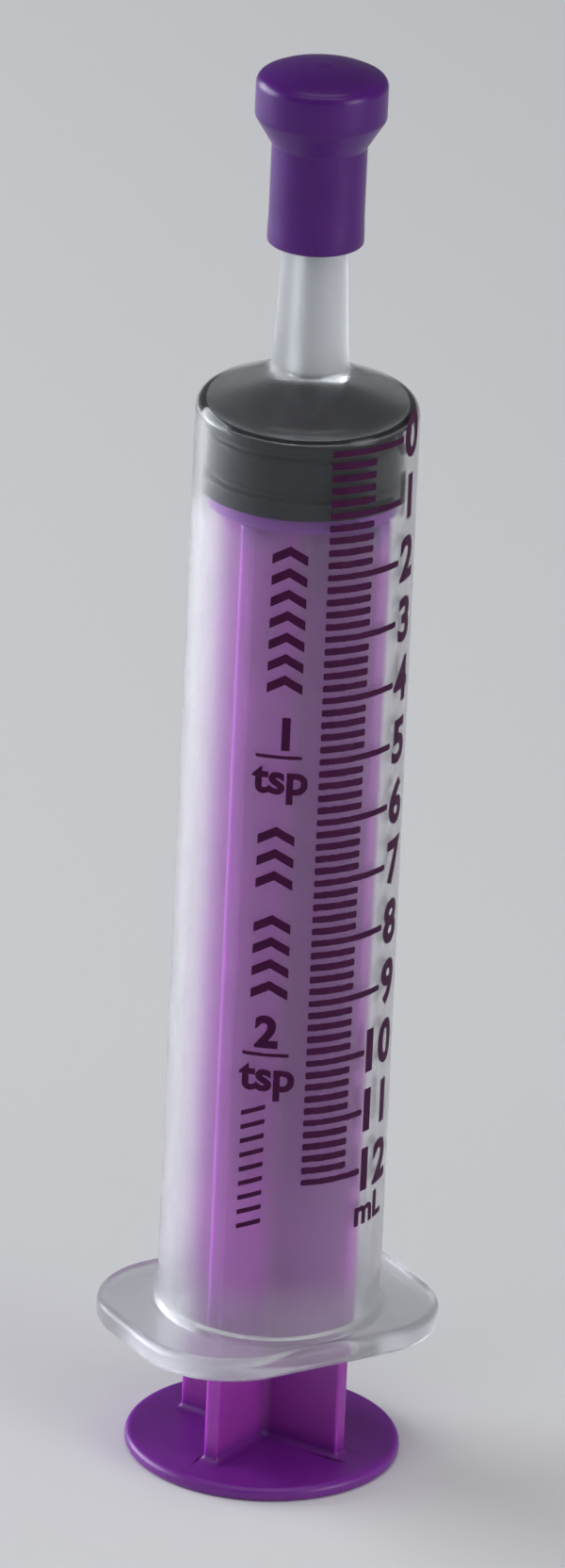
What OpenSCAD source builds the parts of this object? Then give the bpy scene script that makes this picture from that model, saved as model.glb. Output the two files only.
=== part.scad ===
// Oral syringe, standing on its thumb disc with the tip up.
// The origin is the centre of the thumb disc's outer face, +Z runs along the
// barrel towards the tip, and +X runs along the long axis of the finger flange.

/* [Barrel] */
// Inside diameter of the barrel
bore_d = 15.8; // [15.6:0.05:15.9]
// Outside diameter of the barrel's straight stretch above the finger flange
barrel_d_low = 17.74; // [17.5:0.02:18.2]
// Outside diameter of the barrel just below the shoulder
barrel_d_high = 17.44; // [17.3:0.02:17.6]
// Height of the shoulder's lower edge above the thumb disc's outer face
shoulder_z = 87.6; // [87.4:0.1:87.8]

/* [Finger flange] */
// Height of the flange's lower face above the thumb disc's outer face
flange_z = 11.0; // [10:0.1:11.4]
// Thickness of the flange
flange_t = 2.0; // [1.6:0.1:2.4]
// Length of the flange
flange_l = 26.0; // [24:0.2:30]
// Width of the flange
flange_w = 20.6; // [19.6:0.2:22]
// Corner radius of the flange in plan
flange_r = 7.6; // [4:0.2:9]

/* [Nozzle] */
// Diameter of the nozzle at its root
nozzle_d_root = 5.74; // [5.6:0.02:5.9]
// Diameter of the nozzle at its tip
nozzle_d_tip = 4.2; // [4:0.05:4.4]
// Height of the nozzle's tip above the thumb disc's outer face
nozzle_tip_z = 110.5; // [109:0.25:110.75]
// Diameter of the liquid channel at the root
channel_d_root = 2.5; // [1.8:0.1:2.6]
// Diameter of the liquid channel at the tip
channel_d_tip = 2.1; // [1.4:0.1:2.2]

/* [Plunger rod] */
// Diameter of the thumb disc
disc_d = 22.0; // [20:0.2:24]
// Thickness of the thumb disc
disc_t = 1.15; // [1:0.05:1.6]
// Width of the ribbed cross, rib tip to rib tip
rib_w = 15.0; // [13:0.1:15.1]
// Thickness of each rib
rib_t = 1.25; // [1:0.05:1.4]
// Angle of the ribs about the axis, from the flange's long axis
rib_angle = 26; // [0:1:89]
// Thickness of the plate behind the stopper
plate_t = 1.3; // [0.8:0.1:2]

/* [Stopper] */
// Diameter over the sealing bands
stopper_d = 15.72; // [15.5:0.02:15.78]
// Diameter at the bottom of the grooves
groove_d = 14.3; // [13.6:0.1:14.8]
// Height of the stopper's back face above the thumb disc's outer face
stopper_z = 82.25; // [82:0.05:82.4]

/* [Tip cap] */
// Diameter of the cap's skirt
skirt_d = 7.4; // [7:0.1:8]
// Diameter of the cap's head
head_d = 10.2; // [9.4:0.1:11]
// Height of the cap's rim above the thumb disc's outer face
cap_z = 102.2; // [100:0.1:103]
// Height of the top of the cap above the thumb disc's outer face
cap_top_z = 116.7; // [116:0.1:117.4]

/* [Printed scale] */
// Length of barrel that holds one millilitre
ml_len = 5.1; // [5.05:0.01:5.15]
// Height of the zero line above the thumb disc's outer face
zero_z = 88.0; // [87.8:0.05:88.2]
// Thickness of a printed line along the barrel
line_w = 0.55; // [0.3:0.05:0.7]
// Thickness of the ink layer
ink_t = 0.03; // [0.02:0.01:0.06]
// Direction of the start of every line, about the axis
line_start = 253; // [250:1:256]
// Angle that a short line covers
short_line = 25; // [18:1:26]
// Angle that a whole-millilitre line covers
long_line = 45; // [36:1:46]

/* [Hidden] */
$fn = 96;

bore_r = bore_d / 2;
flange_top = flange_z + flange_t;
cone_k = 0.446;                      // rise of the shoulder's cone per millimetre of radius
running = 0.04;                      // radial clearance of the cap's socket on the nozzle
nozzle_root_z = 94.2;
straight_z = 22;                     // top of the barrel's straight stretch
cone_z = 88.51;                      // height of the shoulder's inside at radius 7.55
nose_z = cone_z - 0.11;              // the same on the stopper's nose, just clear of it
zero_ml = 0;
full_ml = 12;
tsp_ml = 4.929;

// outer radius of the barrel's tube at height z: straight at first, then drafted
function barrel_r(z) = (barrel_d_low + (barrel_d_high - barrel_d_low)
    * max(0, z - straight_z) / (shoulder_z - straight_z)) / 2;
// outer radius of the nozzle at height z
function nozzle_r(z) = (nozzle_d_root + (nozzle_d_tip - nozzle_d_root)
    * (z - nozzle_root_z) / (nozzle_tip_z - nozzle_root_z)) / 2;
// height of a volume mark
function mark_z(ml) = zero_z - ml * ml_len;
// height of the inside of the shoulder at radius r
function inner_cone(r) = cone_z + (7.55 - r) * cone_k;

// ---------------------------------------------------------------- barrel

// rounded rectangle in plan
module round_rect(l, w, r) {
    square([l - 2 * r, w], center = true);
    square([l, w - 2 * r], center = true);
    for (x = [-1, 1], y = [-1, 1])
        translate([x * (l / 2 - r), y * (w / 2 - r)]) circle(r);
}

// outline of the tube, shoulder and nozzle, filled to the axis
module barrel_outside() {
    rotate_extrude() polygon([
        [0, flange_z + 0.5],
        [8.6, flange_z + 0.5],
        [barrel_r(flange_top) + 0.7, flange_top - 0.02],
        [barrel_r(flange_top) + 0.3, flange_top + 0.14],
        [barrel_r(flange_top) + 0.08, flange_top + 0.42],
        [barrel_r(flange_top), flange_top + 0.9],
        [barrel_r(straight_z), straight_z],
        [barrel_r(shoulder_z), shoulder_z],
        [barrel_r(shoulder_z) - 0.03, shoulder_z + 0.6],
        [barrel_r(shoulder_z) - 0.14, shoulder_z + 1.2],
        [barrel_r(shoulder_z) - 0.32, shoulder_z + 1.65],
        [barrel_r(shoulder_z) - 0.58, shoulder_z + 2.0],
        [3.75, shoulder_z + 3.95],
        [3.25, shoulder_z + 4.25],
        [3.0, shoulder_z + 4.7],
        [nozzle_r(nozzle_root_z), nozzle_root_z],
        [nozzle_r(nozzle_tip_z - 0.3), nozzle_tip_z - 0.3],
        [nozzle_r(nozzle_tip_z) - 0.2, nozzle_tip_z],
        [0, nozzle_tip_z],
    ]);
}

// everything that is taken out of the barrel: bore, cone and liquid channel
module barrel_inside() {
    rotate_extrude() polygon([
        [0, flange_z - 1],
        [bore_r + 0.35, flange_z - 1],
        [bore_r + 0.35, flange_z],
        [bore_r, flange_z + 0.5],
        [bore_r, flange_z + 0.8],
        [bore_r - 0.22, flange_z + 1.1],
        [bore_r - 0.22, flange_z + 1.5],
        [bore_r, flange_z + 1.9],
        [bore_r, inner_cone(bore_r)],
        [channel_d_root / 2, inner_cone(channel_d_root / 2)],
        [channel_d_tip / 2, nozzle_tip_z - 0.3],
        [channel_d_tip / 2 + 0.2, nozzle_tip_z],
        [channel_d_tip / 2 + 0.2, nozzle_tip_z + 1],
        [0, nozzle_tip_z + 1],
    ]);
}

module barrel() {
    color([0.86, 0.88, 0.90, 0.45])
    difference() {
        union() {
            translate([0, 0, flange_z + 0.3])
                linear_extrude(flange_t - 0.6) round_rect(flange_l, flange_w, flange_r);
            translate([0, 0, flange_z])
                linear_extrude(flange_t) round_rect(flange_l - 0.6, flange_w - 0.6, flange_r - 0.3);
            barrel_outside();
        }
        barrel_inside();
    }
}

// ---------------------------------------------------------------- print

// one printed patch on the barrel: from height z0 to z1, covering an angle
// from a0 to a1 about the axis
module patch(z0, z1, a0, a1) {
    rotate([0, 0, a0]) rotate_extrude(angle = a1 - a0) polygon([
        [barrel_r(z0), z0],
        [barrel_r(z0) + ink_t, z0],
        [barrel_r(z1) + ink_t, z1],
        [barrel_r(z1), z1],
    ]);
}

// the lines: one each 0.2 mL, and a longer one at each whole millilitre
module scale_lines() {
    color([0.16, 0.08, 0.20])
    for (i = [0 : 5 * full_ml]) {
        z = mark_z(i / 5);
        len = i % 5 == 0 ? (i >= 50 ? long_line - 10 : long_line) : short_line;
        patch(z - line_w / 2, z + line_w / 2, line_start, line_start + len);
    }
}

// which of the seven strokes each digit uses, in the order
// top, top left, top right, middle, bottom left, bottom right, bottom
STROKES = [
    [1, 1, 1, 0, 1, 1, 1], [0, 0, 1, 0, 0, 1, 0], [1, 0, 1, 1, 1, 0, 1],
    [1, 0, 1, 1, 0, 1, 1], [0, 1, 1, 1, 0, 1, 0], [1, 1, 0, 1, 0, 1, 1],
    [1, 1, 0, 1, 1, 1, 1], [1, 0, 1, 0, 0, 1, 0], [1, 1, 1, 1, 1, 1, 1],
    [1, 1, 1, 1, 0, 1, 1],
];

// a digit of seven strokes around height z, starting at angle a:
// h is its height, w the angle it covers, s the stroke's width
module digit(n, z, a, h, w, s) {
    on = STROKES[n];
    sa = s / 0.153;                  // the stroke's width as an angle
    g = 0.06;                        // gap between one stroke and the next
    ga = g / 0.153;
    if (on[0]) patch(z + h / 2 - s, z + h / 2, a + sa + ga, a + w - sa - ga);
    if (on[3]) patch(z - s / 2, z + s / 2, a + sa + ga, a + w - sa - ga);
    if (on[6]) patch(z - h / 2, z - h / 2 + s, a + sa + ga, a + w - sa - ga);
    if (on[1]) patch(z + g, z + h / 2, a, a + sa);
    if (on[2]) patch(z + g, z + h / 2, a + w - sa, a + w);
    if (on[4]) patch(z - h / 2, z - g, a, a + sa);
    if (on[5]) patch(z - h / 2, z - g, a + w - sa, a + w);
}

// a numeral beside each whole-millilitre line
module scale_numerals() {
    color([0.16, 0.08, 0.20])
    for (n = [zero_ml : full_ml]) {
        a = line_start + long_line + 6;
        digit(n % 10, mark_z(n), a, 3.4, 15, 0.55);
        if (n > 9) digit(1, mark_z(n), a - 17, 3.4, 15, 0.55);
    }
}

// the two teaspoon lines and the digit beside each
module dose_marks() {
    color([0.16, 0.08, 0.20])
    for (n = [1, 2]) {
        z = mark_z(n * tsp_ml);
        patch(z - 0.25, z + 0.25, line_start - 33, line_start - 5);
        digit(n, z + 2.6, line_start - 26, 2.6, 12, 0.5);
    }
}

// ---------------------------------------------------------------- plunger

module plunger_rod() {
    knob_z = stopper_z;
    color([0.42, 0.16, 0.55])
    union() {
        // thumb disc
        rotate_extrude() polygon([
            [0, 0], [disc_d / 2 - 0.4, 0], [disc_d / 2 - 0.12, 0.12],
            [disc_d / 2, 0.4], [disc_d / 2, disc_t - 0.4],
            [disc_d / 2 - 0.12, disc_t - 0.12], [disc_d / 2 - 0.4, disc_t],
            [0, disc_t],
        ]);
        // four ribs in a cross
        for (a = [0, 90]) rotate([0, 0, rib_angle + a])
            translate([-rib_w / 2, -rib_t / 2, disc_t - 0.3])
                cube([rib_w, rib_t, stopper_z - plate_t - disc_t + 0.35]);
        // plate behind the stopper, neck and snap knob
        translate([0, 0, 0]) rotate_extrude() polygon([
            [0, stopper_z - plate_t - 0.05],
            [rib_w / 2 - 0.3, stopper_z - plate_t - 0.05],
            [rib_w / 2 - 0.1, stopper_z - plate_t + 0.15],
            [rib_w / 2 - 0.1, stopper_z - 0.25],
            [rib_w / 2 - 0.3, stopper_z - 0.05],
            [3.1, knob_z - 0.05],
            [3.1, knob_z + 2.55],
            [3.95, knob_z + 2.75],
            [3.95, knob_z + 3.6],
            [2.4, knob_z + 5.2],
            [0, knob_z + 5.2],
        ]);
    }
}

// ---------------------------------------------------------------- stopper

module stopper() {
    r = stopper_d / 2;
    g = groove_d / 2;
    z = stopper_z;
    color([0.16, 0.17, 0.18])
    difference() {
        rotate_extrude() polygon([
            [0, z], [r - 0.3, z], [r - 0.06, z + 0.1], [r, z + 0.3],
            [r, z + 1.15], [r - 0.08, z + 1.35], [g, z + 1.45],
            [g, z + 1.95], [r - 0.25, z + 2.05], [r - 0.2, z + 2.4],
            [r - 0.2, z + 4.4], [r - 0.25, z + 4.7], [g, z + 4.8],
            [g, z + 5.4], [r - 0.08, z + 5.48], [r, z + 5.6],
            [r, z + 5.8], [r - 0.05, z + 5.97], [r - 0.16, z + 6.09],
            [r - 0.34, z + 6.16],
            [1.9, nose_z + (7.55 - 1.9) * cone_k],
            [1.2, nose_z + (7.55 - 1.35) * cone_k],
            [0, nose_z + (7.55 - 1.2) * cone_k],
        ]);
        // undercut socket for the rod's knob
        rotate_extrude() polygon([
            [0, z - 1], [3.15, z - 1], [3.15, z + 2.52], [4.05, z + 2.7],
            [4.05, z + 3.65], [2.5, z + 5.3], [0, z + 5.3],
        ]);
    }
}

// ---------------------------------------------------------------- cap

module tip_cap() {
    s = skirt_d / 2;
    h = head_d / 2;
    c = running;
    color([0.33, 0.17, 0.50])
    difference() {
        rotate_extrude() polygon([
            [0, cap_z], [s - 0.25, cap_z], [s, cap_z + 0.2],
            [s + 0.06, cap_z + 0.5], [s + 0.02, cap_z + 1.2],
            [s, cap_z + 2.2], [s, 110.15], [s + 0.12, 110.35],
            [h - 0.15, 112.25], [h, 112.6], [h, 114.3],
            [h - 0.1, 114.95], [h - 0.35, 115.55], [h - 0.75, 116.0],
            [h - 1.3, 116.25], [3.0, 116.46], [2.0, 116.6],
            [1.0, 116.68], [0.6, cap_top_z - 0.02], [0.6, cap_top_z], [0, cap_top_z],
        ]);
        // blind tapered socket that fits the nozzle
        rotate_extrude() polygon([
            [0, cap_z - 1],
            [nozzle_r(cap_z) + c + 0.3, cap_z - 1],
            [nozzle_r(cap_z) + c + 0.3, cap_z],
            [nozzle_r(cap_z + 0.4) + c, cap_z + 0.4],
            [nozzle_r(nozzle_tip_z) + c, nozzle_tip_z],
            [nozzle_r(nozzle_tip_z) + c - 0.3, nozzle_tip_z + 0.5],
            [0, nozzle_tip_z + 0.5],
        ]);
    }
}

barrel();
scale_lines();
scale_numerals();
dose_marks();
plunger_rod();
stopper();
tip_cap();
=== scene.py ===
import math

import bmesh
import bpy
import numpy as np
from mathutils import Matrix, Vector


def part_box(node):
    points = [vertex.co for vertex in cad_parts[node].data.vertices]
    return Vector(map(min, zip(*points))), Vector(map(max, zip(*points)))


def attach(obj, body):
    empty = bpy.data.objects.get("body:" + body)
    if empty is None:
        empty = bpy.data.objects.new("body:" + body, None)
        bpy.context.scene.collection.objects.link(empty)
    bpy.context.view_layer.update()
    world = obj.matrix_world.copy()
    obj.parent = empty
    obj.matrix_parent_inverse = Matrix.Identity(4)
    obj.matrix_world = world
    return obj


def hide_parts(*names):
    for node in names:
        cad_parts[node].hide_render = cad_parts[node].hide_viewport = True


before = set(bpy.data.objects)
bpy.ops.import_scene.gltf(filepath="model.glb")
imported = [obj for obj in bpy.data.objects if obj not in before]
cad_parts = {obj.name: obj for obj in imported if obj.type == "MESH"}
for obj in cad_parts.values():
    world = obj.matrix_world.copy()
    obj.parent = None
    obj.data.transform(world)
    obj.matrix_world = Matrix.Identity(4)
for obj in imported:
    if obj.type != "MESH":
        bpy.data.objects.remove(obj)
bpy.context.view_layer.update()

MM = 0.001
rng = np.random.default_rng(7)

# ------------------------------------------------------------------ sizes, in mm, from the frame
def mm_box(node):
    lo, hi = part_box(node)
    return [x / MM for x in lo], [x / MM for x in hi]

B_LO, B_HI = mm_box("barrel")
R_LO, R_HI = mm_box("plunger_rod")
S_LO, S_HI = mm_box("stopper")
C_LO, C_HI = mm_box("tip_cap")

FL_Z = B_LO[2]                     # flange's lower face
FL_T = 2.0
FL_TOP = FL_Z + FL_T
HX, HY = B_HI[0], B_HI[1]          # flange half length and half width
FL_R = 7.6
BORE = 7.9
SH_Z = 87.6                        # shoulder's lower edge
STRAIGHT_Z = 22.0                  # top of the barrel's straight stretch
NOZ_ROOT, NOZ_TIP = 94.2, B_HI[2]
DISC_R, DISC_T = R_HI[0], 1.15
RIB_W, RIB_T, RIB_A = 7.5, 0.625, math.radians(26)
ST_Z = S_LO[2]
ST_R = S_HI[0]
CAP_Z, CAP_TOP = C_LO[2], C_HI[2]
ZERO_Z, ML = 88.0, 5.1
LINE_START = 253.0
CONE_K = 0.446


def barrel_r(z):
    return (17.74 + (17.44 - 17.74) * max(0.0, z - STRAIGHT_Z) / (SH_Z - STRAIGHT_Z)) / 2


def nozzle_r(z):
    return (5.74 + (4.2 - 5.74) * (z - NOZ_ROOT) / (NOZ_TIP - NOZ_ROOT)) / 2


def inner_cone(r):
    return 88.51 + (7.55 - r) * CONE_K


# ------------------------------------------------------------------ mesh tools
def rounded(pts, seg=6):
    """pts are (r, z, corner radius); returns the outline with its corners rounded, open at both ends."""
    out = []
    n = len(pts)
    for i, (r, z, rad) in enumerate(pts):
        if rad <= 0 or i in (0, n - 1):
            out.append((r, z))
            continue
        p = np.array((r, z), float)
        a = np.array(pts[i - 1][:2], float) - p
        b = np.array(pts[i + 1][:2], float) - p
        la, lb = np.linalg.norm(a), np.linalg.norm(b)
        a, b = a / la, b / lb
        ang = math.acos(float(np.clip(a @ b, -1, 1)))
        turn = math.pi - ang
        if turn < 1e-3:
            out.append((r, z))
            continue
        t = min(rad * math.tan(turn / 2), 0.48 * la, 0.48 * lb)
        rr = t / math.tan(turn / 2)
        bis = a + b
        bis /= np.linalg.norm(bis)
        c = p + bis * (rr / math.sin(ang / 2))
        s, e = p + a * t, p + b * t
        va, vb = s - c, e - c
        a0 = math.atan2(va[1], va[0])
        a1 = math.atan2(vb[1], vb[0])
        d = (a1 - a0 + math.pi) % (2 * math.pi) - math.pi
        for k in range(seg + 1):
            th = a0 + d * k / seg
            out.append((c[0] + rr * math.cos(th), c[1] + rr * math.sin(th)))
    return out


def mesh_from_rings(name, rings, loop=False, start_pole=None, end_pole=None, smooth_deg=32):
    """A closed mesh from rings of the same number of points, in mm. loop joins the last ring to the first."""
    n = len(rings[0])
    verts = [tuple(v) for ring in rings for v in ring]
    faces = []
    m = len(rings)
    for i in range(m if loop else m - 1):
        a, b = i * n, ((i + 1) % m) * n
        for j in range(n):
            k = (j + 1) % n
            faces.append((a + j, a + k, b + k, b + j))
    if start_pole is not None:
        verts.append(tuple(start_pole))
        c = len(verts) - 1
        faces += [(c, (j + 1) % n, j) for j in range(n)]
    if end_pole is not None:
        verts.append(tuple(end_pole))
        c = len(verts) - 1
        o = (m - 1) * n
        faces += [(c, o + j, o + (j + 1) % n) for j in range(n)]
    return finish_mesh(name, verts, faces, smooth_deg)


def finish_mesh(name, verts, faces, smooth_deg=32):
    me = bpy.data.meshes.new(name)
    me.from_pydata([Vector(v) * MM for v in verts], [], faces)
    bm = bmesh.new()
    bm.from_mesh(me)
    bmesh.ops.remove_doubles(bm, verts=bm.verts, dist=1e-7)
    bmesh.ops.dissolve_degenerate(bm, dist=1e-8, edges=bm.edges)
    bmesh.ops.recalc_face_normals(bm, faces=bm.faces)
    if bm.calc_volume(signed=True) < 0:
        bmesh.ops.reverse_faces(bm, faces=bm.faces)
    bm.to_mesh(me)
    bm.free()
    me.shade_smooth()
    me.set_sharp_from_angle(angle=math.radians(smooth_deg))
    ob = bpy.data.objects.new(name, me)
    bpy.context.scene.collection.objects.link(ob)
    wn = ob.modifiers.new("even_shading", "WEIGHTED_NORMAL")
    wn.keep_sharp = True
    wn.weight = 60
    return ob


def circle(r, z, ang):
    return [(r * math.cos(t), r * math.sin(t), z) for t in ang]


def revolve(name, prof, n=160, loop=False, smooth_deg=32):
    """Revolves an outline of (r, z). An end on the axis becomes one point."""
    ang = [2 * math.pi * k / n for k in range(n)]
    prof = list(prof)
    start = end = None
    if prof[0][0] < 1e-6:
        start = (0, 0, prof[0][1])
        prof = prof[1:]
    if prof[-1][0] < 1e-6:
        end = (0, 0, prof[-1][1])
        prof = prof[:-1]
    return mesh_from_rings(name, [circle(r, z, ang) for r, z in prof], loop, start, end, smooth_deg)


def refine(prof, step):
    """Adds points so that no stretch of the outline is longer than step."""
    out = [prof[0]]
    for a, b in zip(prof, prof[1:]):
        n = max(1, int(math.ceil(math.dist(a, b) / step)))
        out += [(a[0] + (b[0] - a[0]) * k / n, a[1] + (b[1] - a[1]) * k / n) for k in range(1, n + 1)]
    return out


# ------------------------------------------------------------------ materials
def lin(r, g, b):
    f = lambda c: c / 12.92 if c <= 0.04045 else ((c + 0.055) / 1.055) ** 2.4
    return tuple(f(x / 255) for x in (r, g, b)) + (1.0,)


def new_material(name):
    m = bpy.data.materials.new(name)
    m.use_nodes = True
    nt = m.node_tree
    b = nt.nodes["Principled BSDF"]
    return m, nt, b


def node(nt, kind, **props):
    nd = nt.nodes.new(kind)
    for k, v in props.items():
        setattr(nd, k, v)
    return nd


def noise_tex(nt, coord, scale, detail=2.0, rough=0.5, stretch=None):
    src = coord
    if stretch:
        mp = node(nt, "ShaderNodeMapping")
        mp.inputs["Scale"].default_value = stretch
        nt.links.new(coord, mp.inputs["Vector"])
        src = mp.outputs["Vector"]
    t = node(nt, "ShaderNodeTexNoise")
    t.inputs["Scale"].default_value = scale
    t.inputs["Detail"].default_value = detail
    t.inputs["Roughness"].default_value = rough
    nt.links.new(src, t.inputs["Vector"])
    return t.outputs["Fac"]


def ranged(nt, fac, lo, hi, a=0.3, b=0.7):
    mr = node(nt, "ShaderNodeMapRange")
    mr.inputs["From Min"].default_value = a
    mr.inputs["From Max"].default_value = b
    mr.inputs["To Min"].default_value = lo
    mr.inputs["To Max"].default_value = hi
    nt.links.new(fac, mr.inputs["Value"])
    return mr.outputs["Result"]


def mixed(nt, fac, c1, c2):
    mx = node(nt, "ShaderNodeMix", data_type="RGBA")
    mx.inputs[6].default_value = c1
    mx.inputs[7].default_value = c2
    nt.links.new(fac, mx.inputs[0])
    return mx.outputs[2]


def bumped(nt, b, height, strength, distance):
    bp = node(nt, "ShaderNodeBump")
    bp.inputs["Strength"].default_value = strength
    bp.inputs["Distance"].default_value = distance
    nt.links.new(height, bp.inputs["Height"])
    nt.links.new(bp.outputs["Normal"], b.inputs["Normal"])


def moulded(name, dark, light, rough_lo, rough_hi, bump=0.08, spec=0.5, sss=0.0, scale=260.0, coat=0.0):
    """Moulded plastic or rubber: slight colour drift, a fine satin grain, and uneven gloss."""
    m, nt, b = new_material(name)
    co = node(nt, "ShaderNodeTexCoord").outputs["Object"]
    broad = noise_tex(nt, co, scale, 2.0, 0.5)
    grain = noise_tex(nt, co, scale * 16, 3.0, 0.6)
    flow = noise_tex(nt, co, scale, 3.0, 0.55, stretch=(1.0, 1.0, 0.12))
    nt.links.new(mixed(nt, ranged(nt, broad, 0.0, 1.0), dark, light), b.inputs["Base Color"])
    nt.links.new(ranged(nt, flow, rough_lo, rough_hi), b.inputs["Roughness"])
    bumped(nt, b, grain, bump, 0.00004)
    b.inputs["Specular IOR Level"].default_value = spec
    if sss:
        b.inputs["Subsurface Weight"].default_value = sss
        b.inputs["Subsurface Radius"].default_value = (0.0018, 0.0006, 0.0020)
        b.inputs["Subsurface Scale"].default_value = 1.0
    if coat:
        b.inputs["Coat Weight"].default_value = coat
        b.inputs["Coat Roughness"].default_value = 0.12
    return m


MAT_ROD = moulded("rod_purple", lin(112, 28, 138), lin(121, 33, 148), 0.34, 0.46, sss=0.9)


def thin_ribs(m, dark, light):
    """Painted light and shade: the ribs get a lighter colour than the disc and the plate at their two ends, standing in
    for lit ribs and a shaded disc and plate.
    """
    nt = m.node_tree
    b = nt.nodes["Principled BSDF"]
    co = node(nt, "ShaderNodeTexCoord").outputs["Object"]
    sep = node(nt, "ShaderNodeSeparateXYZ")
    nt.links.new(co, sep.inputs[0])
    fac = None
    # painted shade: the colour goes back to the darker end colour on the disc at the bottom and on the plate under the
    # stopper
    for z0, z1, v0, v1 in ((0.0011, 0.0032, 0.0, 1.0), (0.0785, 0.0808, 1.0, 0.0)):
        mr = node(nt, "ShaderNodeMapRange", interpolation_type="SMOOTHSTEP")
        for k, v in (("From Min", z0), ("From Max", z1), ("To Min", v0), ("To Max", v1)):
            mr.inputs[k].default_value = v
        nt.links.new(sep.outputs["Z"], mr.inputs["Value"])
        if fac is None:
            fac = mr.outputs["Result"]
        else:
            ma = node(nt, "ShaderNodeMath", operation="MULTIPLY")
            nt.links.new(fac, ma.inputs[0])
            nt.links.new(mr.outputs["Result"], ma.inputs[1])
            fac = ma.outputs[0]
    painted_shade_end_colour = b.inputs["Base Color"].links[0].from_socket
    painted_lit_rib_colour = mixed(nt, ranged(nt, noise_tex(nt, co, 260.0), 0.0, 1.0), dark, light)
    mx = node(nt, "ShaderNodeMix", data_type="RGBA")
    nt.links.new(fac, mx.inputs[0])
    nt.links.new(painted_shade_end_colour, mx.inputs[6])
    nt.links.new(painted_lit_rib_colour, mx.inputs[7])
    nt.links.new(mx.outputs[2], b.inputs["Base Color"])


# painted light: lighter colours on the ribs than on the disc and plate
thin_ribs(MAT_ROD, lin(148, 52, 158), lin(157, 58, 167))
MAT_CAP = moulded("cap_purple", lin(75, 21, 111), lin(83, 25, 120), 0.24, 0.34, bump=0.05, spec=0.3, sss=0.05)
MAT_RUBBER = moulded("stopper_rubber", lin(13, 14, 18), lin(20, 21, 26), 0.42, 0.52, bump=0.2, spec=0.12, scale=420.0)
MAT_INK = moulded("ink_dark", lin(56, 6, 52), lin(66, 10, 60), 0.5, 0.65, bump=0.12, spec=0.15, scale=900.0)


def clear_pp(name):
    """Natural polypropylene: lets light through and blurs what stands off the wall. The thick flange and nozzle are milkier."""
    m, nt, b = new_material(name)
    co = node(nt, "ShaderNodeTexCoord").outputs["Object"]
    haze = noise_tex(nt, co, 120.0, 3.0, 0.6, stretch=(1.0, 1.0, 0.1))
    fine = noise_tex(nt, co, 3000.0, 2.0, 0.6)
    sep = node(nt, "ShaderNodeSeparateXYZ")
    nt.links.new(co, sep.inputs[0])

    def over_height(z0, z1, v0, v1):
        mr = node(nt, "ShaderNodeMapRange", interpolation_type="SMOOTHSTEP")
        for k, v in (("From Min", z0), ("From Max", z1), ("To Min", v0), ("To Max", v1)):
            mr.inputs[k].default_value = v
        nt.links.new(sep.outputs["Z"], mr.inputs["Value"])
        return mr.outputs["Result"]

    flange = over_height(0.0128, 0.0190, 1.0, 0.0)         # 1 in the flange, 0 in the tube
    front = over_height(0.0800, 0.0824, 0.0, 1.0)          # 1 where the rubber lies on the wall and wets it
    nozzle = over_height(0.0914, 0.0928, 0.0, 1.0)         # 1 in the nozzle

    def by_part(tube, fl, fr, noz):
        out = None
        for fac, d in ((flange, fl - tube), (front, fr - tube), (nozzle, noz - fr)):
            ma = node(nt, "ShaderNodeMath", operation="MULTIPLY_ADD")
            ma.inputs[1].default_value = d
            ma.inputs[2].default_value = tube
            nt.links.new(fac, ma.inputs[0])
            if out is not None:
                nt.links.new(out, ma.inputs[2])
            out = ma.outputs[0]
        return out

    body = mixed(nt, flange, (0.95, 0.96, 0.97, 1.0), (0.76, 0.77, 0.79, 1.0))
    mx = node(nt, "ShaderNodeMix", data_type="RGBA")
    mx.inputs[7].default_value = (0.56, 0.57, 0.59, 1.0)
    nt.links.new(nozzle, mx.inputs[0])
    nt.links.new(body, mx.inputs[6])
    nt.links.new(mx.outputs[2], b.inputs["Base Color"])
    add = node(nt, "ShaderNodeMath", operation="ADD")
    nt.links.new(ranged(nt, haze, 0.0, 0.04), add.inputs[0])
    nt.links.new(by_part(0.225, 0.225, 0.12, 0.60), add.inputs[1])
    nt.links.new(add.outputs[0], b.inputs["Roughness"])
    nt.links.new(by_part(0.946, 0.82, 0.985, 0.62), b.inputs["Transmission Weight"])
    b.inputs["IOR"].default_value = 1.49
    b.inputs["Specular IOR Level"].default_value = 0.22
    b.inputs["Specular Tint"].default_value = (0.28, 0.29, 0.31, 1.0)
    bumped(nt, b, fine, 0.05, 0.00003)
    path = node(nt, "ShaderNodeLightPath")
    clear = node(nt, "ShaderNodeBsdfTransparent")
    nt.links.new(mixed(nt, flange, (0.90, 0.905, 0.91, 1.0), (0.55, 0.555, 0.57, 1.0)), clear.inputs["Color"])
    mix = node(nt, "ShaderNodeMixShader")
    nt.links.new(path.outputs["Is Shadow Ray"], mix.inputs[0])
    nt.links.new(b.outputs[0], mix.inputs[1])
    nt.links.new(clear.outputs[0], mix.inputs[2])
    nt.links.new(mix.outputs[0], nt.nodes["Material Output"].inputs["Surface"])
    return m


MAT_PP = clear_pp("barrel_clear_pp")


def dress(ob, mat, body, slot, *nodes):
    ob.data.materials.clear()
    ob.data.materials.append(mat)
    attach(ob, body)
    if nodes:
        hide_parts(*nodes)
    return ob


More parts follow.
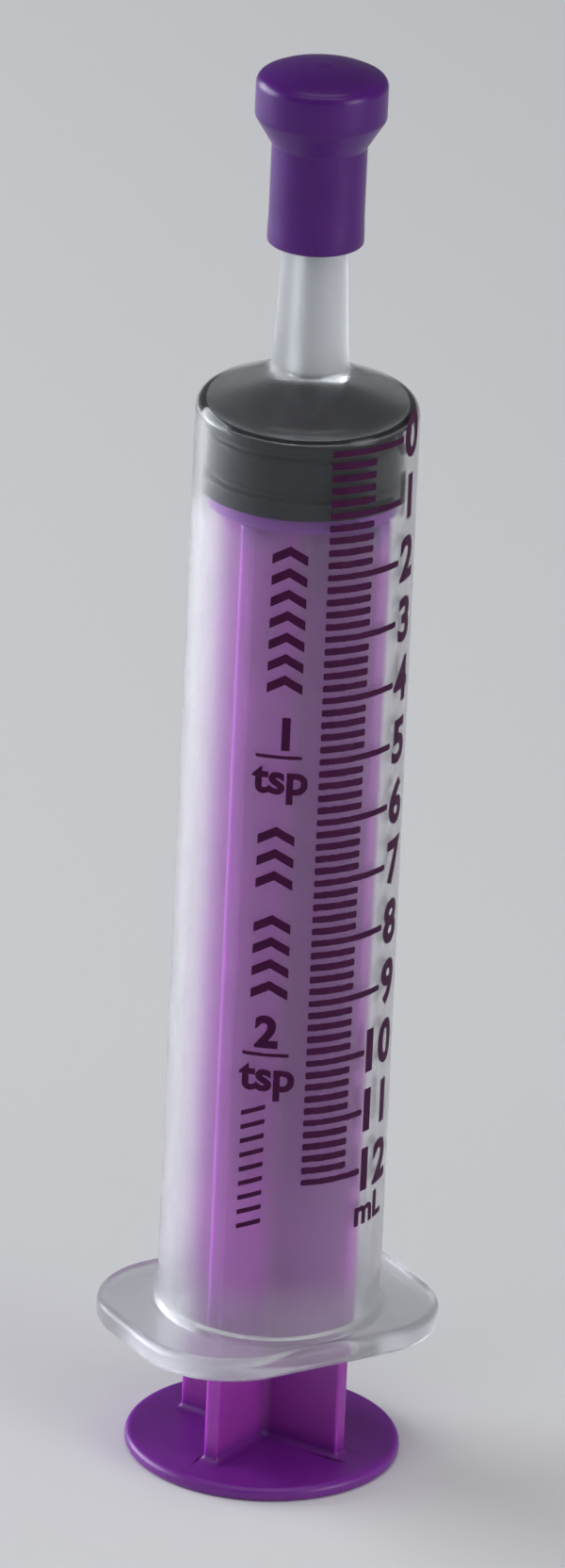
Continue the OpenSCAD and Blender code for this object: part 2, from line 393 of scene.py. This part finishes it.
# ------------------------------------------------------------------ barrel
def perimeter(theta):
    """Point and outward normal of the flange's outline in direction theta."""
    d = np.array((math.cos(theta), math.sin(theta)))
    q = np.abs(d)
    cx, cy = HX - FL_R, HY - FL_R
    if q[1] * HX <= q[0] * cy:                    # right or left side
        r, nrm = HX / q[0], np.array((1.0, 0.0))
    elif q[0] * HY <= q[1] * cx:                  # long side
        r, nrm = HY / q[1], np.array((0.0, 1.0))
    else:
        dc = q[0] * cx + q[1] * cy
        r = dc + math.sqrt(dc * dc - cx * cx - cy * cy + FL_R * FL_R)
        nrm = (r * q - np.array((cx, cy))) / FL_R
    sgn = np.where(d < 0, -1.0, 1.0)
    return r * d, nrm * sgn


def build_barrel():
    n = 240
    ang = [2 * math.pi * k / n for k in range(n)]
    per = [perimeter(t) for t in ang]
    rings = []

    def ring_c(r, z):
        rings.append(circle(r, z, ang))

    def ring_f(inset, z):
        rings.append([(p[0] - nr[0] * inset, p[1] - nr[1] * inset, z) for p, nr in per])

    def ring_b(t, r, inset, z):
        row = []
        for th, (p, nr) in zip(ang, per):
            c = np.array((r * math.cos(th), r * math.sin(th)))
            f = p - nr * inset
            q = c + (f - c) * t
            row.append((q[0], q[1], z))
        rings.append(row)

    # mouth of the bore, flange's underside, rounded edge, top
    er = 0.62
    ring_c(8.15, FL_Z)
    for t in (0.25, 0.5, 0.75):
        ring_b(t, 8.15, er + 0.12, FL_Z)
    ring_f(er + 0.12, FL_Z)
    for k in range(9):
        a = math.pi / 2 * k / 8
        ring_f(er - er * math.sin(a), FL_Z + er - er * math.cos(a))
    ring_f(0.0, FL_Z + FL_T / 2)
    for k in range(9):
        a = math.pi / 2 * k / 8
        ring_f(er - er * math.cos(a), FL_TOP - er + er * math.sin(a))
    fr = 0.8                                     # fillet between flange and tube
    ring_f(er + 0.12, FL_TOP)
    for t in (0.75, 0.5, 0.25):
        ring_b(t, barrel_r(FL_TOP) + fr + 0.1, er + 0.12, FL_TOP)
    ring_c(barrel_r(FL_TOP) + fr + 0.1, FL_TOP)
    for k in range(9):
        a = math.pi / 2 * k / 8
        ring_c(barrel_r(FL_TOP + fr) + fr - fr * math.sin(a), FL_TOP + fr - fr * math.cos(a))
    outer = rounded([
        (barrel_r(FL_TOP + fr), FL_TOP + fr, 0),
        (barrel_r(STRAIGHT_Z), STRAIGHT_Z, 0),
        (barrel_r(SH_Z) - 0.005, 89.34, 1.6),
        (3.04, 91.86, 1.1),
        (nozzle_r(NOZ_ROOT + 0.4), NOZ_ROOT + 0.4, 0.0),
        (nozzle_r(NOZ_TIP), NOZ_TIP, 0.28),
        (1.05, NOZ_TIP, 0.16),
        (1.22, inner_cone(1.22), 0.25),
        (BORE, inner_cone(BORE), 0.18),
        (BORE, FL_Z + 2.1, 0.4),
        (BORE - 0.22, FL_Z + 1.32, 0.5),
        (BORE, FL_Z + 0.5, 0.4),
        (8.15, FL_Z, 0),
    ], 8)
    outer = refine(outer, 2.6)
    for r, z in outer[1:-1]:
        ring_c(r, z)
    return mesh_from_rings("barrel_clear", rings, loop=True, smooth_deg=38)


barrel = dress(build_barrel(), MAT_PP, "barrel", "barrel_pp", "barrel")


# ------------------------------------------------------------------ plunger rod
def cross_outline(w, t, re, ri, d):
    """Outline of the ribbed cross, grown by d, star-shaped about the axis. The same points whatever d is."""
    quad = []
    for k in range(3):                            # half of a rib's outer face
        quad.append((w + d, (t - re) * k / 3))
    for k in range(6):                            # its rounded corner
        a = math.pi / 2 * k / 5
        quad.append((w - re + (re + d) * math.cos(a), t - re + (re + d) * math.sin(a)))
    x0, x1 = w - re, t + ri
    a0, a1 = math.atan2(t, x0), math.atan2(t, x1)
    ns = 12
    side = [t / math.tan(a0 + (a1 - a0) * k / ns) for k in range(1, ns)]
    quad += [(x, t + d) for x in side]
    r2 = ri - d
    for k in range(7):                            # fillet where two ribs meet
        a = math.pi * 1.5 - math.pi / 2 * k / 6
        quad.append((t + ri + r2 * math.cos(a), t + ri + r2 * math.sin(a)))
    quad += [(t + d, x) for x in reversed(side)]
    for k in range(6):
        a = math.pi / 2 * k / 5
        quad.append((t - re + (re + d) * math.sin(math.pi / 2 - a) * 1.0 if False else t - re + (re + d) * math.cos(a),
                     w - re + (re + d) * math.sin(a)))
    for k in (3, 2, 1):
        quad.append(((t - re) * k / 3, w + d))
    pts = []
    for q in range(4):
        c, s = math.cos(RIB_A + q * math.pi / 2), math.sin(RIB_A + q * math.pi / 2)
        pts += [(x * c - y * s, x * s + y * c) for x, y in quad]
    return pts


def build_rod():
    base = cross_outline(RIB_W, RIB_T, 0.22, 0.55, 0.0)
    ang = [math.atan2(y, x) for x, y in base]
    rings = []

    def ring_c(r, z):
        rings.append(circle(r, z, ang))

    def ring_x(d, z, w=RIB_W, t=RIB_T):
        rings.append([(x, y, z) for x, y in cross_outline(w, t, 0.22, 0.55, d)])

    # underside with a shallow gate dimple, rim, top
    for r, z in rounded([(0.7, 0.18, 0), (1.1, 0.18, 0.1), (1.25, 0.0, 0.1), (DISC_R - 0.1, 0.0, 0.0)], 4)[:-1]:
        ring_c(r, z)
    for r in (4.0, 7.5, 9.4):
        ring_c(r, 0.0)
    for r, z in rounded([(9.8, 0.0, 0), (DISC_R, 0.0, 0.42), (DISC_R, DISC_T, 0.5), (9.6, DISC_T, 0)], 8):
        ring_c(r, z)
    ring_c(8.9, DISC_T)
    rf = 0.5
    for k in range(7):
        h = rf * (1 - math.cos(math.pi / 2 * k / 6))
        d = rf * (1 - math.sin(math.pi / 2 * k / 6))
        ring_x(min(d, 0.5), DISC_T + h)
    z1 = ST_Z - 1.3
    for k in range(1, 12):
        ring_x(0.0, DISC_T + rf + (z1 - 0.4 - DISC_T - rf) * k / 12)
    for k in range(5):
        h = 0.4 * math.sin(math.pi / 2 * k / 4)
        d = 0.4 * (1 - math.cos(math.pi / 2 * k / 4))
        rings.append([(x, y, z1 - 0.4 + h) for x, y in cross_outline(RIB_W - 0.12 * k / 4 - d, RIB_T, 0.22, 0.55, d)])
    for r, z in rounded([(7.0, z1, 0), (RIB_W - 0.1, z1, 0.2), (RIB_W - 0.1, ST_Z - 0.05, 0.25), (3.1, ST_Z - 0.05, 0.12),
                         (3.1, ST_Z + 2.58, 0.15), (3.95, ST_Z + 2.78, 0.2), (3.95, ST_Z + 3.6, 0.3),
                         (2.4, ST_Z + 5.15, 0.5), (0.0, ST_Z + 5.2, 0)], 5)[1:-1]:
        ring_c(r, z)
    return mesh_from_rings("plunger_rod_moulding", rings, start_pole=(0, 0, 0.18), end_pole=(0, 0, ST_Z + 5.2), smooth_deg=35)


rod = dress(build_rod(), MAT_ROD, "plunger_rod", "rod_pp", "plunger_rod")


# ------------------------------------------------------------------ stopper
def build_stopper():
    z, r, g = ST_Z, ST_R, 7.15
    prof = rounded([
        (3.15, z, 0.15), (r - 0.04, z, 0.0), (r, z, 0.34), (r, z + 1.42, 0.2), (g, z + 1.42, 0.16), (g, z + 2.02, 0.16),
        (r - 0.2, z + 2.02, 0.22), (r - 0.2, z + 4.76, 0.22), (g, z + 4.76, 0.18), (g, z + 5.44, 0.18),
        (r, z + 5.44, 0.1), (r, z + 6.13, 0.3), (1.6, 88.40 + (7.55 - 1.6) * CONE_K, 0.9),
        (0.0, 91.22, 0.0),
    ], 7)
    prof[0:1] = [(3.15, z)]
    inner = rounded([
        (0.0, z + 5.3, 0), (2.5, z + 5.3, 0.4), (4.05, z + 3.7, 0.3), (4.05, z + 2.7, 0.15), (3.15, z + 2.52, 0.15),
        (3.15, z, 0)], 5)
    prof = refine(inner[:-1] + prof, 1.2)
    return revolve("stopper_rubber_moulding", prof, 192, smooth_deg=40)


stopper = dress(build_stopper(), MAT_RUBBER, "stopper", "stopper_rubber", "stopper")


# ------------------------------------------------------------------ tip cap
def build_cap():
    s, h, z = 3.7, C_HI[0], CAP_Z
    dome = [(x, 116.02 + 0.66 * (1 - (x / 4.1) ** 2)) for x in (4.0, 3.4, 2.8, 2.2, 1.6, 1.1)]
    outer = rounded([
        (nozzle_r(z) + 0.34, z, 0.0), (s + 0.06, z, 0.28), (s + 0.05, z + 0.9, 0.4), (s, z + 2.4, 0.6),
        (s, 110.2, 0.35), (h, 112.5, 0.55), (h, 115.55, 1.25), (4.0, 116.05, 0.0)], 8)
    top = outer[:-1] + dome + rounded([(0.62, 116.66, 0), (0.5, 116.69, 0.02), (0.0, CAP_TOP, 0)], 3)
    inner = rounded([
        (0.0, NOZ_TIP + 0.5, 0), (nozzle_r(NOZ_TIP) - 0.2, NOZ_TIP + 0.5, 0.2),
        (nozzle_r(NOZ_TIP) + 0.04, NOZ_TIP, 0.15), (nozzle_r(z + 0.4) + 0.04, z + 0.4, 0.15),
        (nozzle_r(z) + 0.34, z, 0.0)], 4)
    prof = refine(inner[:-1] + top, 1.0)
    return revolve("tip_cap_moulding", prof, 160, smooth_deg=40)


cap = dress(build_cap(), MAT_CAP, "tip_cap", "cap_pp", "tip_cap")


# ------------------------------------------------------------------ print
INK_T, INK_GAP = 0.028, -0.01


def wrap_point(s, z, lift):
    """s is the distance round the barrel, in mm, from the direction of +X."""
    th = s / 8.8
    r = barrel_r(z) + lift
    return (r * math.cos(th), r * math.sin(th), z)


def ink_from_bmesh(name, bm):
    """Wraps flat faces (x is the distance round the barrel, y the height, in mm) on the barrel, with the ink's thickness."""
    xs = [v.co.x for v in bm.verts]
    x = math.floor(min(xs)) + 0.4
    while x < max(xs):
        bmesh.ops.bisect_plane(bm, geom=bm.verts[:] + bm.edges[:] + bm.faces[:], plane_co=(x, 0, 0), plane_no=(1, 0, 0), dist=1e-5)
        x += 0.4
    faces = bm.faces[:]
    ext = bmesh.ops.extrude_face_region(bm, geom=faces)
    top = {v for v in ext["geom"] if isinstance(v, bmesh.types.BMVert)}
    for v in bm.verts:
        p = wrap_point(v.co.x, v.co.y, INK_T if v in top else INK_GAP)
        v.co = Vector(p) * MM
    bmesh.ops.recalc_face_normals(bm, faces=bm.faces)
    me = bpy.data.meshes.new(name)
    bm.to_mesh(me)
    bm.free()
    me.shade_smooth()
    me.set_sharp_from_angle(angle=math.radians(40))
    ob = bpy.data.objects.new(name, me)
    bpy.context.scene.collection.objects.link(ob)
    return ob


def deg_s(theta):
    return math.radians(theta) * 8.8


def add_bar(bm, s0, s1, z, w, jitter=0.014, step=0.22):
    """A printed line with the slightly uneven edges of real ink and softened corners."""
    n = max(4, int((s1 - s0) / step))
    c = min(0.09, w / 4)
    xs = [s0 + (s1 - s0) * k / n for k in range(n + 1)]
    up = [(x, z + w / 2 + rng.normal(0, jitter)) for x in xs[1:-1]]
    dn = [(x, z - w / 2 + rng.normal(0, jitter)) for x in xs[1:-1]]
    ring = ([(s0 + c, z - w / 2)] + dn + [(s1 - c, z - w / 2), (s1, z - w / 2 + c), (s1, z + w / 2 - c), (s1 - c, z + w / 2)]
            + up[::-1] + [(s0 + c, z + w / 2), (s0, z + w / 2 - c), (s0, z - w / 2 + c)])
    vs = [bm.verts.new((x, y, 0)) for x, y in ring]
    bm.faces.new(vs)


def add_text(bm, body, height, s, z, align="CENTER", bold=0.02, narrow=1.0, turn=0.0):
    """Type of the given digit height, placed with its anchor at (s, z)."""
    cu = bpy.data.curves.new("type", "FONT")
    cu.body = body
    cu.size = 1.0
    cu.offset = bold
    cu.resolution_u = 5
    cu.align_x = align
    cu.align_y = "CENTER"
    ob = bpy.data.objects.new("type", cu)
    bpy.context.scene.collection.objects.link(ob)
    bpy.context.view_layer.update()
    ev = ob.evaluated_get(bpy.context.evaluated_depsgraph_get())
    me = bpy.data.meshes.new_from_object(ev)
    co = np.array([v.co for v in me.vertices])
    k = height / 0.73
    cy = (co[:, 1].max() + co[:, 1].min()) / 2 if len(body) and body[0].isdigit() else 0.365
    t = Matrix.Translation((s, z, 0)) @ Matrix.Rotation(turn, 4, "Z") @ Matrix.Diagonal((k * narrow, k, 1, 1)) @ Matrix.Translation((0, -cy, 0))
    me.transform(t)
    for v in me.vertices:
        v.co.z = 0
    bm.from_mesh(me)
    bpy.data.objects.remove(ob)
    bpy.data.curves.remove(cu)
    bpy.data.meshes.remove(me)


def mark_z(ml):
    return ZERO_Z - ml * ML


bm = bmesh.new()
for i in range(61):
    ml = i / 5
    length = 25 if i % 5 else (45 if i < 50 else 35)
    w = 0.56 if i % 5 else 0.5
    add_bar(bm, deg_s(LINE_START), deg_s(LINE_START + length), mark_z(ml), w)
lines = dress(ink_from_bmesh("printed_scale_lines", bm), MAT_INK, "barrel", "ink", "scale_lines")

bm = bmesh.new()
for n in range(13):
    add_text(bm, str(n), 3.55, deg_s(LINE_START + 63), mark_z(n), "RIGHT", bold=0.035)
add_text(bm, "mL", 2.3, deg_s(LINE_START + 61) - 0.4, mark_z(12) - 2.6, "RIGHT", bold=0.03)
numerals = dress(ink_from_bmesh("printed_numerals", bm), MAT_INK, "barrel", "ink", "scale_numerals")

bm = bmesh.new()
for n in (1, 2):
    z = mark_z(n * 4.929)
    add_bar(bm, deg_s(LINE_START - 33), deg_s(LINE_START - 9), z, 0.28)
    add_text(bm, str(n), 2.6, deg_s(LINE_START - 21) + (0.5 if n == 1 else 0.0), z + 1.95, "CENTER", bold=0.045)
    add_text(bm, "tsp", 2.6, deg_s(LINE_START - 21.5) + 0.3, z - 0.62, "CENTER", bold=0.03)
doses = dress(ink_from_bmesh("printed_dose_marks", bm), MAT_INK, "barrel", "ink", "dose_marks")


def add_chevron(bm, s, z, wide, tall, stroke):
    """An arrow head that points to the tip."""
    pts = [(-wide / 2, -tall / 2), (0, tall / 2), (wide / 2, -tall / 2),
           (wide / 2, -tall / 2 - stroke), (0, tall / 2 - stroke), (-wide / 2, -tall / 2 - stroke)]
    bm.faces.new([bm.verts.new((s + x, z + y, 0)) for x, y in pts])


bm = bmesh.new()
for k in range(7):
    add_chevron(bm, deg_s(LINE_START - 19.5), 80.0 - 1.78 * k, 2.8, 0.8, 0.78)
for k in range(8):
    if k != 3:
        add_chevron(bm, deg_s(LINE_START - 20.5), 56.65 - 1.86 * k, 2.9, 0.8, 0.78)
for k in range(9):                                # a plain slanted-bar strip below them
    s0, z0 = deg_s(LINE_START - 26), 32.9 - 1.22 * k
    bm.faces.new([bm.verts.new((s0 + x, z0 + y, 0)) for x, y in ((-0.95, -0.58), (0.95, 0.20), (0.95, 0.60), (-0.95, -0.18))])
chevrons = dress(ink_from_bmesh("printed_flow_chevrons", bm), MAT_INK, "barrel", "ink")

# ------------------------------------------------------------------ stage, light, camera
def plain(name, col, rough):
    m, nt, b = new_material(name)
    co = node(nt, "ShaderNodeTexCoord").outputs["Object"]
    f = noise_tex(nt, co, 3.0, 2.0)
    nt.links.new(mixed(nt, ranged(nt, f, 0, 1), tuple(c * 0.985 for c in col[:3]) + (1,), col), b.inputs["Base Color"])
    b.inputs["Roughness"].default_value = rough
    return m


floor_me = bpy.data.meshes.new("floor")
floor_me.from_pydata([(-4, -4, 0), (4, -4, 0), (4, 4, 0), (-4, 4, 0)], [], [(0, 1, 2, 3)])
floor = bpy.data.objects.new("floor", floor_me)
floor_me.materials.append(plain("floor_pale", (0.84, 0.84, 0.85, 1), 0.7))
bpy.context.scene.collection.objects.link(floor)

AZ, EL, ROLL = math.radians(-31.0), math.radians(22.45), math.radians(2.56)
right = Vector((math.cos(AZ), math.sin(AZ), 0))
back = Vector((math.sin(AZ) * math.cos(EL), -math.cos(AZ) * math.cos(EL), math.sin(EL)))
up = back.cross(right)
xc = right * math.cos(ROLL) + up * math.sin(ROLL)
yc = up * math.cos(ROLL) - right * math.sin(ROLL)
K = 13.555                                        # pixels of the 1664-high frame per mm at the aim point
aim = Vector((0, 0, 0.055)) + (-xc * 7.9 + yc * 26.0) / K * MM
cam_data = bpy.data.cameras.new("camera")
cam = bpy.data.objects.new("camera", cam_data)
bpy.context.scene.collection.objects.link(cam)
cam.matrix_world = Matrix((
    (xc.x, yc.x, back.x, 0), (xc.y, yc.y, back.y, 0), (xc.z, yc.z, back.z, 0), (0, 0, 0, 1)))
cam.location = aim + back * 0.950
cam_data.sensor_width = 36.0
cam_data.lens = K * 950.0 * 36.0 / 1664.0
cam_data.clip_start, cam_data.clip_end = 0.05, 20.0
bpy.context.scene.camera = cam

away = Vector((-math.sin(AZ), math.cos(AZ), 0))   # level, away from the camera


def softbox(name, place, target, size_x, size_y, power, colour=(1, 1, 1)):
    ld = bpy.data.lights.new(name, "AREA")
    ld.shape = "RECTANGLE"
    ld.size, ld.size_y = size_x, size_y
    ld.energy = power
    ld.color = colour
    ob = bpy.data.objects.new(name, ld)
    bpy.context.scene.collection.objects.link(ob)
    ob.location = place
    ob.rotation_mode = "QUATERNION"
    ob.rotation_quaternion = (Vector(place) - Vector(target)).to_track_quat("Z", "Y")
    return ob


centre = Vector((0, 0, 0.06))
softbox("key", -right * 0.86 + away * 0.31 + Vector((0, 0, 0.17)), centre, 0.78, 0.55, 12.0, (0.92, 0.96, 1.0))
softbox("fill", right * 0.78 - away * 0.46 + Vector((0, 0, 0.15)), centre, 0.40, 0.5, 3.4)
softbox("front_top", -away * 0.60 + Vector((0, 0, 0.98)), centre, 1.5, 0.28, 2.6)
softbox("overhead", -away * 0.02 + Vector((0, 0, 1.20)), centre, 0.8, 0.5, 2.4)

world = bpy.data.worlds.new("studio")
world.use_nodes = True
world.node_tree.nodes["Background"].inputs[0].default_value = (0.95, 0.96, 1.0, 1)
world.node_tree.nodes["Background"].inputs[1].default_value = 0.15
bpy.context.scene.world = world
bpy.context.scene.view_settings.view_transform = "Standard"

bpy.context.view_layer.update()
